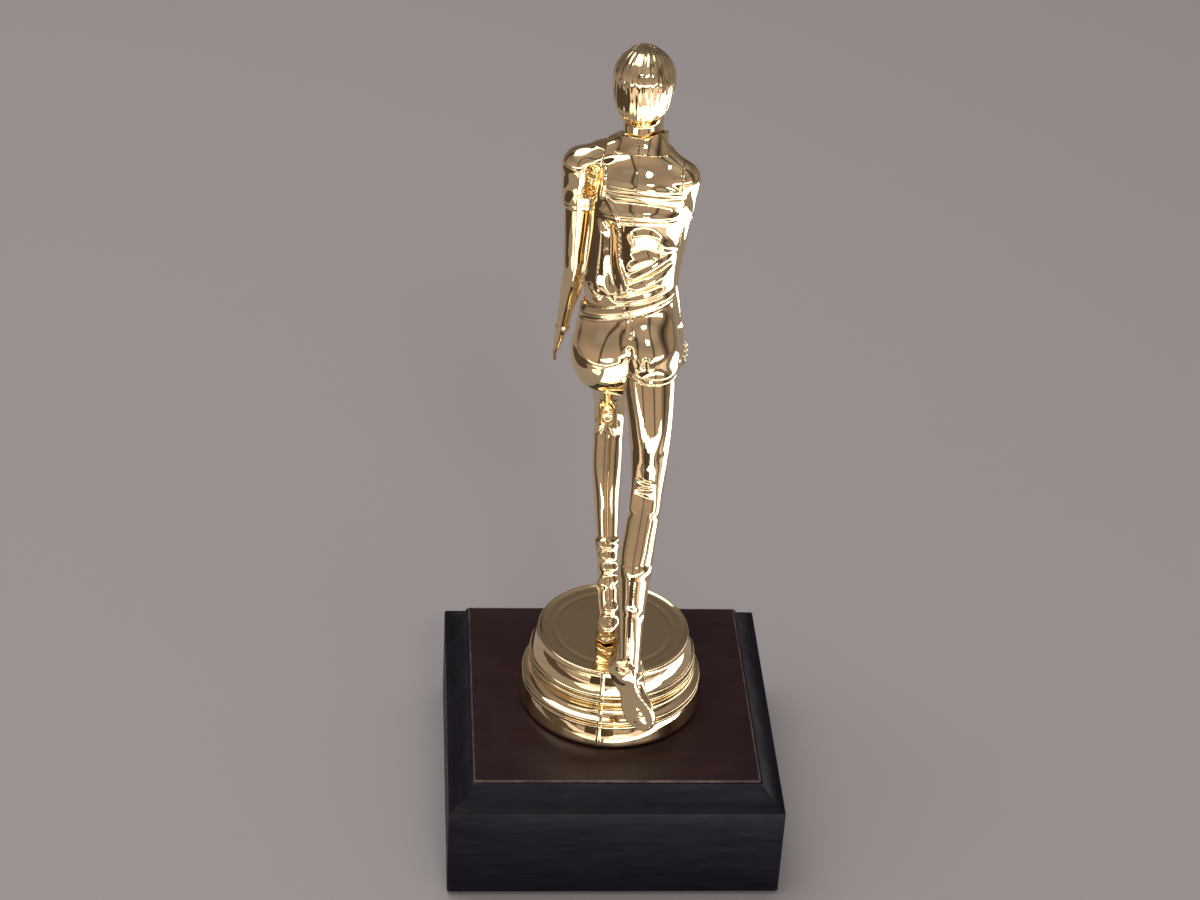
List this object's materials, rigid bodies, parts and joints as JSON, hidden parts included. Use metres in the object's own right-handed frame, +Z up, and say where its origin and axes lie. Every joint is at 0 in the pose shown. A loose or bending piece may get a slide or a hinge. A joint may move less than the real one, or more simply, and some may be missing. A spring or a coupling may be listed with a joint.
{
  "type": "bowling trophy",
  "caption": "Gold-coloured bowler releasing a ball, on a round stepped plinth bolted to a square black wooden base with a brown top and a blank front plate.",
  "frame": {"origin": "middle of the base's underside, where it meets the table", "axes": "+Z up, +Y out of the front face with the name plate, +X to the bowler's right"},
  "size_m": [0.09, 0.0912, 0.2242],
  "materials": {
    "gold_plastic": "vacuum-metallised gold, mirror gloss",
    "black_wood": "black satin lacquer on fibre board",
    "brown_veneer": "dark red-brown satin wood-look sheet",
    "felt": "dark green felt",
    "plate_metal": "brushed brass sheet, blank",
    "brass_pin": "polished brass",
    "zinc_steel": "bright zinc plate"
  },
  "bodies": {
    "base": {"base_block": "black_wood", "base_top_veneer": "brown_veneer", "base_felt": "felt", "name_plate": "plate_metal", "plate_pin_left": "brass_pin", "plate_pin_right": "brass_pin", "flat_washer": "zinc_steel"},
    "figure": {"figure_left_shell": "gold_plastic", "figure_right_shell": "gold_plastic", "left_arm": "gold_plastic", "right_arm": "gold_plastic", "bowling_ball": "gold_plastic", "captive_nut": "zinc_steel", "fixing_bolt": "zinc_steel", "spring_washer": "zinc_steel"}
  },
  "joints": [
    {"name": "figure_turn", "type": "hinge", "parent": "base", "child": "figure", "pos_m": [0, 0, 0.0345], "axis": [0, 0, 1], "continuous": true}
  ]
}
